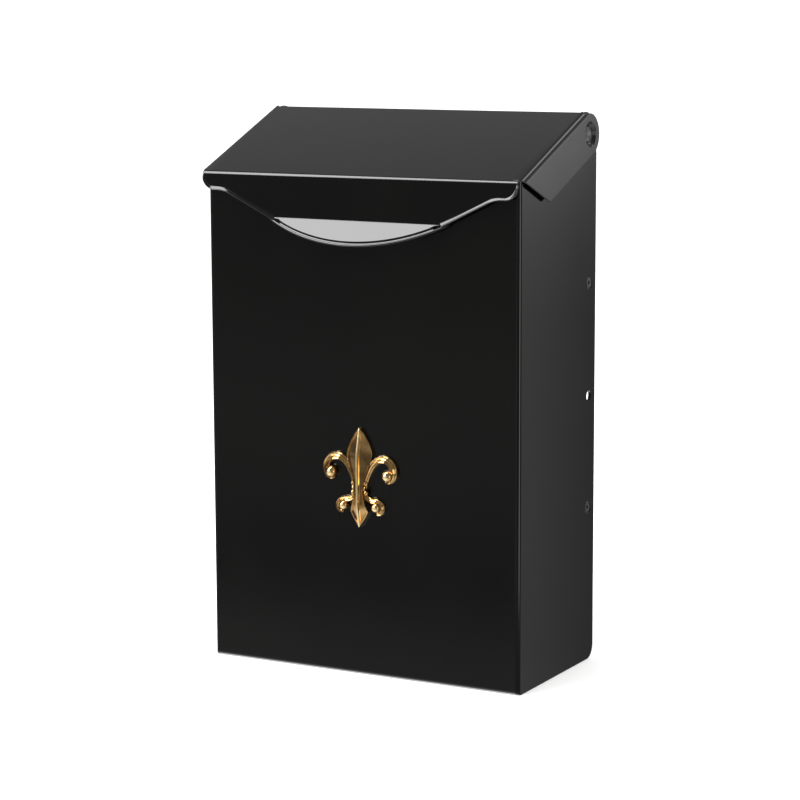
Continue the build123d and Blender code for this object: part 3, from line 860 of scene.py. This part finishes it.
RELIEF = 4.7 * MM
HOLLOW_DEPTH = 0.7 * MM
LEAF = [(0, 22.2), (2.1, 19.9), (4.4, 16.2), (6.0, 12.6), (6.4, 10.6), (5.9, 7.6), (4.7, 4.0),
        (3.3, 0.4), (2.4, -3.4), (2.2, -6.4), (2.6, -9.8), (3.6, -13.0), (4.4, -15.2),
        (3.2, -17.6), (0, -22.2)]
UPPER_SCROLL = [(1.6, -8.0, 0.5), (2.4, -3.6, 0.55), (4.4, 2.4, 0.66), (7.6, 7.2, 0.8),
                (12.0, 8.8, 0.86), (15.9, 6.4, 0.85), (16.9, 2.0, 0.72), (15.0, -0.8, 0.5),
                (12.8, -0.6, 0.35)]
LOWER_SCROLL = [(1.2, -3.2, 0.45), (2.2, -7.4, 0.5), (4.8, -9.7, 0.6), (8.2, -10.3, 0.65),
                (10.9, -12.2, 0.6), (10.6, -15.0, 0.5), (8.4, -15.9, 0.35)]
SCROLL_SECTION = [(-2.0, -1.8), (-2.15, 0.2), (-1.55, 1.2), (-0.8, 0.55), (0.0, 1.6), (0.8, 0.55),
                  (1.55, 1.2), (2.15, 0.2), (2.0, -1.8)]
BALLS = [(14.1, 1.7, 1.7, 2.7), (8.1, -12.9, 1.5, 2.2), (3.1, -2.6, 1.8, 1.15),
         (3.2, -6.8, 1.8, 1.2)]


def line_curve(name, points, closed=False):
    """A curve through (x, y, width) points."""
    data = bpy.data.curves.new(name, "CURVE")
    data.dimensions = "2D" if closed else "3D"
    spline = data.splines.new("POLY" if closed else "BEZIER")
    if closed:
        spline.points.add(len(points) - 1)
        for point, place in zip(spline.points, points):
            point.co = (place[0] * MM, place[1] * MM, 0, 1)
        spline.use_cyclic_u = True
    else:
        spline.bezier_points.add(len(points) - 1)
        for point, place in zip(spline.bezier_points, points):
            point.co = (place[0] * MM, place[1] * MM, 1.2 * MM)
            point.handle_left_type = point.handle_right_type = "AUTO"
            point.radius = place[2]
        spline.resolution_u = 12
    made = bpy.data.objects.new(name, data)
    bpy.context.scene.collection.objects.link(made)
    return made


def add_evaluated(bm, thing):
    """Adds what an object looks like after its modifiers, and takes the object away."""
    bpy.context.view_layer.update()
    graph = bpy.context.evaluated_depsgraph_get()
    mesh = bpy.data.meshes.new_from_object(thing.evaluated_get(graph))
    bm.from_mesh(mesh)
    bpy.data.meshes.remove(mesh)
    bpy.data.objects.remove(thing)


def make_scroll(bm, points):
    section = line_curve("scroll_section", SCROLL_SECTION, closed=True)
    scroll = line_curve("scroll", points)
    scroll.data.bevel_mode = "OBJECT"
    scroll.data.bevel_object = section
    scroll.data.use_fill_caps = True
    scroll.data.resolution_u = 12
    scroll.data.twist_mode = "Z_UP"
    add_evaluated(bm, scroll)
    bpy.data.objects.remove(section)


def make_leaf(bm):
    """Both leaves and the stem: a sharp spine, a rim all round and sunk hollows between."""
    half = bmesh.new()
    plate(half, [(x * MM, y * MM, 0) for x, y in reversed(LEAF)], Matrix.Identity(4))
    for _, y in LEAF[1:-1]:
        bmesh.ops.bisect_plane(half, geom=half.verts[:] + half.edges[:] + half.faces[:],
                               dist=1e-7, plane_co=(0, y * MM, 0), plane_no=(0, 1, 0))
    hollows = half.faces[:]
    bmesh.ops.inset_region(half, faces=hollows, thickness=0.55 * MM, use_boundary=True,
                           use_even_offset=True)
    bmesh.ops.inset_region(half, faces=hollows, thickness=0.3 * MM, use_boundary=True,
                           use_even_offset=True)
    sunk = {v for f in hollows for v in f.verts}
    for vert in half.verts:
        tips = max(0.0, abs(vert.co.y + 1.0 * MM) - 12.0 * MM) * 0.22
        vert.co.z = RELIEF - 0.45 * abs(vert.co.x) - tips
        if vert in sunk:
            vert.co.z -= HOLLOW_DEPTH
    bmesh.ops.mirror(half, geom=half.verts[:] + half.edges[:] + half.faces[:],
                     matrix=Matrix.Identity(4), merge_dist=1e-6, axis="X")
    rise = bmesh.ops.extrude_face_region(half, geom=half.faces[:])["geom"]
    for vert in [g for g in rise if isinstance(g, bmesh.types.BMVert)]:
        vert.co.z = 0
    bmesh.ops.recalc_face_normals(half, faces=half.faces[:])
    mesh = bpy.data.meshes.new("leaf")
    half.to_mesh(mesh)
    half.free()
    bm.from_mesh(mesh)
    bpy.data.meshes.remove(mesh)


def make_emblem():
    """A cast fleur-de-lis: leaves, four scrolls with balls, a band, and two studs behind."""
    bm = bmesh.new()
    make_scroll(bm, UPPER_SCROLL)
    make_scroll(bm, LOWER_SCROLL)
    for x, y, depth, radius in BALLS:
        bmesh.ops.create_uvsphere(bm, u_segments=32, v_segments=20, radius=radius * MM,
                                  matrix=Matrix.Translation((x * MM, y * MM, depth * MM)))
    bmesh.ops.mirror(bm, geom=bm.verts[:] + bm.edges[:] + bm.faces[:],
                     matrix=Matrix.Identity(4), merge_dist=0, axis="X")
    bmesh.ops.create_cone(
        bm, cap_ends=True, segments=32, radius1=1.5 * MM, radius2=1.5 * MM, depth=6.4 * MM,
        matrix=Matrix.Translation((0, -4.8 * MM, 1.5 * MM)) @ Matrix.Rotation(math.pi / 2, 4, "Y"),
    )
    make_leaf(bm)
    for y in (-EMBLEM_STUD_STEP, EMBLEM_STUD_STEP):
        bmesh.ops.create_cone(
            bm, cap_ends=True, segments=32, radius1=1.5 * MM, radius2=1.5 * MM,
            depth=5.2 * MM, matrix=Matrix.Translation((0, y, -2.0 * MM)),
        )
    bmesh.ops.remove_doubles(bm, verts=bm.verts[:], dist=1e-6)
    place = placing((1, 0, 0), (0, 0, 1), (0, front_y, emblem_middle))
    bmesh.ops.transform(bm, matrix=place, verts=bm.verts[:])
    bmesh.ops.recalc_face_normals(bm, faces=bm.faces[:])
    casting = as_piece("emblem_casting", bm, "box", "polished_gold", "emblem")
    soft = casting.modifiers.new("worn_ridges", "BEVEL")
    soft.width = 0.2 * MM
    soft.segments = 2
    soft.limit_method = "ANGLE"
    soft.angle_limit = math.radians(17)
    shading = casting.modifiers.new("flat_faces_stay_flat", "WEIGHTED_NORMAL")
    shading.weight = 60


def make_push_nut(end, step):
    outline = [
        (1.52 * MM, 0.55 * MM), (2.6 * MM, 0.3 * MM), (3.4 * MM, 0.02 * MM), (5.0 * MM, 0.02 * MM),
        (5.0 * MM, 0.5 * MM), (3.6 * MM, 0.5 * MM), (2.8 * MM, 0.8 * MM), (1.52 * MM, 1.05 * MM),
    ]
    centre = Vector((0, front_y + SHEET, emblem_middle + step))
    turned_piece(f"push_nut_{end}_pressed", outline, 1, centre, "box", "spring_steel",
                 f"push_nut_{end}", axis=(0, 1, 0))


make_emblem()
make_push_nut("lower", -EMBLEM_STUD_STEP)
make_push_nut("upper", EMBLEM_STUD_STEP)
make_body_shell()
make_back_panel()
make_lid()
make_pull_rim()
for side_name, hand in (("left", -1), ("right", 1)):
    make_hinge_stud(hand, side_name)
    for end, height in (("lower", -RIVET_STEP), ("upper", RIVET_STEP)):
        make_rivet(hand, side_name, end, height)


# ---- studio ----

def make_camera():
    data = bpy.data.cameras.new("camera")
    data.sensor_width = 36.0
    data.lens = 115.7
    data.clip_start = 0.05
    data.clip_end = 200.0
    camera = bpy.data.objects.new("camera", data)
    bpy.context.scene.collection.objects.link(camera)
    across = Vector((0.8784, 0.4779, -0.0038))
    up = Vector((-0.0721, 0.1405, 0.9875))
    back = across.cross(up)
    turn = Matrix((across, up, back)).transposed().to_4x4()
    camera.matrix_world = Matrix.Translation((0.5471, -1.0449, 0.1802)) @ turn
    bpy.context.scene.camera = camera


def make_floor():
    bm = bmesh.new()
    bmesh.ops.create_grid(bm, x_segments=1, y_segments=1, size=60.0,
                          matrix=Matrix.Translation((0, 0, bottom_z - 0.2 * MM)))
    mesh = bpy.data.meshes.new("studio_floor")
    bm.to_mesh(mesh)
    bm.free()
    floor = bpy.data.objects.new("studio_floor", mesh)
    bpy.context.scene.collection.objects.link(floor)
    material, tree, shader = nodes_of("pale_floor")
    tone = two_tones(tree, noise(tree, 3.0), (0.86, 0.86, 0.855), (0.90, 0.90, 0.895))
    tree.links.new(tone, shader.inputs["Base Color"])
    shader.inputs["Roughness"].default_value = 0.9
    shader.inputs["Specular IOR Level"].default_value = 0.0
    shader.inputs["Emission Color"].default_value = (1, 1, 1, 1)
    shader.inputs["Emission Strength"].default_value = FLOOR_GLOW
    mesh.materials.append(material)
    floor.visible_glossy = False


def softbox(name, position, target, width, height, radiance):
    data = bpy.data.lights.new(name, "AREA")
    data.shape = "RECTANGLE"
    data.size = width
    data.size_y = height
    data.energy = 4.0 * width * height * radiance
    lamp = bpy.data.objects.new(name, data)
    bpy.context.scene.collection.objects.link(lamp)
    lamp.location = position
    lamp.rotation_euler = (Vector(target) - Vector(position)).to_track_quat("-Z", "Y").to_euler()
    lamp.visible_camera = False


def make_world():
    world = bpy.data.worlds.new("studio")
    bpy.context.scene.world = world
    world.use_nodes = True
    world.cycles.sampling_method = "NONE"
    tree = world.node_tree
    tree.nodes.clear()

    def maths(operation, a, b=None, clamp=False):
        made = tree.nodes.new("ShaderNodeMath")
        made.operation = operation
        made.use_clamp = clamp
        for slot, value in zip(made.inputs, (a, b)):
            if value is None:
                continue
            if isinstance(value, (int, float)):
                slot.default_value = value
            else:
                tree.links.new(value, slot)
        return made.outputs[0]

    where = tree.nodes.new("ShaderNodeTexCoord")
    split = tree.nodes.new("ShaderNodeSeparateXYZ")
    tree.links.new(where.outputs["Generated"], split.inputs[0])
    x, y, z = split.outputs

    def ramp(value, low, high, stops):
        """A smooth gradient through stops of (value, level), all of them between low and high."""
        top = max(level for _, level in stops)
        made = tree.nodes.new("ShaderNodeValToRGB")
        points = made.color_ramp.elements
        while len(points) < len(stops):
            points.new(0.5)
        for point, (place, level) in zip(points, stops):
            point.position = (place - low) / (high - low)
            point.color = (level / top, level / top, level / top, 1)
        scaled = maths("MULTIPLY", maths("SUBTRACT", value, low), 1 / (high - low))
        tree.links.new(scaled, made.inputs["Fac"])
        return maths("MULTIPLY", made.outputs["Color"], top)

    # in front and above: dark at eye level, a pale floor below and a dim ceiling
    height = maths("ADD", z, maths("MULTIPLY", maths("MINIMUM", x, 0.0), 0.16))
    base = ramp(height, -1.2, 1.2, [
        (-1.0, 1.2), (-0.75, 1.2), (-0.5, 0.9), (-0.39, 0.45), (-0.35, 0.38), (-0.32, 0.31),
        (-0.306, 0.14), (-0.296, 0.14), (-0.28, 0.22), (-0.24, 0.25), (-0.2, 0.18), (-0.15, 0.15),
        (-0.05, 0.2), (0.2, 0.35), (0.45, 0.34), (0.7, 0.32), (1.0, 0.5),
    ])
    rear_part = maths("MULTIPLY", maths("GREATER_THAN", y, 0.1), maths("GREATER_THAN", z, 0.3))
    depth = maths("SUBTRACT", y, z)
    ceiling = maths("MULTIPLY", ramp(depth, -0.2, 0.2, [(-0.1, 0.0), (-0.05, 0.12)]), rear_part)

    # behind on the right: a wall lit from the right, brightest at the horizon
    flat = maths("SQRT", maths("ADD", maths("MULTIPLY", x, x), maths("MULTIPLY", y, y)))
    sine = maths("DIVIDE", x, flat)
    along = ramp(sine, -1.0, 1.0, [
        (-1.0, 0.7), (-0.8, 0.6), (-0.7, 0.12), (-0.4, 0.12), (-0.2, 0.5), (0.15, 0.5),
        (0.26, 0.06), (0.37, 0.06), (0.4, 0.2), (0.412, 0.27), (0.426, 0.48), (0.436, 0.62),
        (0.5, 0.75), (0.9, 0.9),
    ])
    upward = ramp(z, -1.0, 1.0, [
        (-0.9, 1.2), (-0.45, 1.5), (-0.32, 0.7), (-0.25, 0.55), (-0.16, 0.61), (-0.127, 0.63),
        (-0.105, 0.77), (-0.083, 1.0), (-0.065, 1.5), (-0.045, 1.9), (0.0, 2.1), (0.15, 1.2),
        (0.3, 0.6),
    ])
    wall = maths("MULTIPLY", along, upward)
    behind = maths("MULTIPLY", maths("GREATER_THAN", y, 0.3), maths("LESS_THAN", z, 0.3))
    ahead = maths("MULTIPLY", maths("ADD", base, ceiling), maths("SUBTRACT", 1.0, behind))
    below_left = maths("MULTIPLY", maths("LESS_THAN", x, -0.2), maths("GREATER_THAN", y, 0.0))
    below_left = maths("MULTIPLY", below_left, ramp(z, -1.0, 1.0, [(-0.7, 3.6), (-0.45, 0.0)]))
    glossy = maths("ADD", ahead, maths("MULTIPLY", wall, behind))
    glossy = maths("ADD", glossy, below_left)

    path = tree.nodes.new("ShaderNodeLightPath")
    level = tree.nodes.new("ShaderNodeMix")
    level.data_type = "FLOAT"
    tree.links.new(path.outputs["Is Glossy Ray"], level.inputs[0])
    level.inputs[2].default_value = AMBIENT
    tree.links.new(glossy, level.inputs[3])
    seen = tree.nodes.new("ShaderNodeMix")
    seen.data_type = "FLOAT"
    tree.links.new(path.outputs["Is Camera Ray"], seen.inputs[0])
    tree.links.new(level.outputs[0], seen.inputs[2])
    seen.inputs[3].default_value = 1.0
    background = tree.nodes.new("ShaderNodeBackground")
    background.inputs["Color"].default_value = (1, 1, 1, 1)
    tree.links.new(seen.outputs[0], background.inputs["Strength"])
    output = tree.nodes.new("ShaderNodeOutputWorld")
    tree.links.new(background.outputs[0], output.inputs[0])


make_camera()
make_floor()
make_world()
softbox("key_softbox", (-0.50, -0.62, 0.85), (0, -0.06, 0.06), 0.5, 1.9, 9.0)
softbox("fill_softbox", (1.05, -0.62, -0.05), (0, -0.04, 0.0), 0.5, 0.6, 1.8)
softbox("rear_softbox", (0.50, 0.55, 0.85), (0, 0, 0.1), 0.28, 0.28, 2.0)
bpy.context.scene.view_settings.view_transform = "Standard"
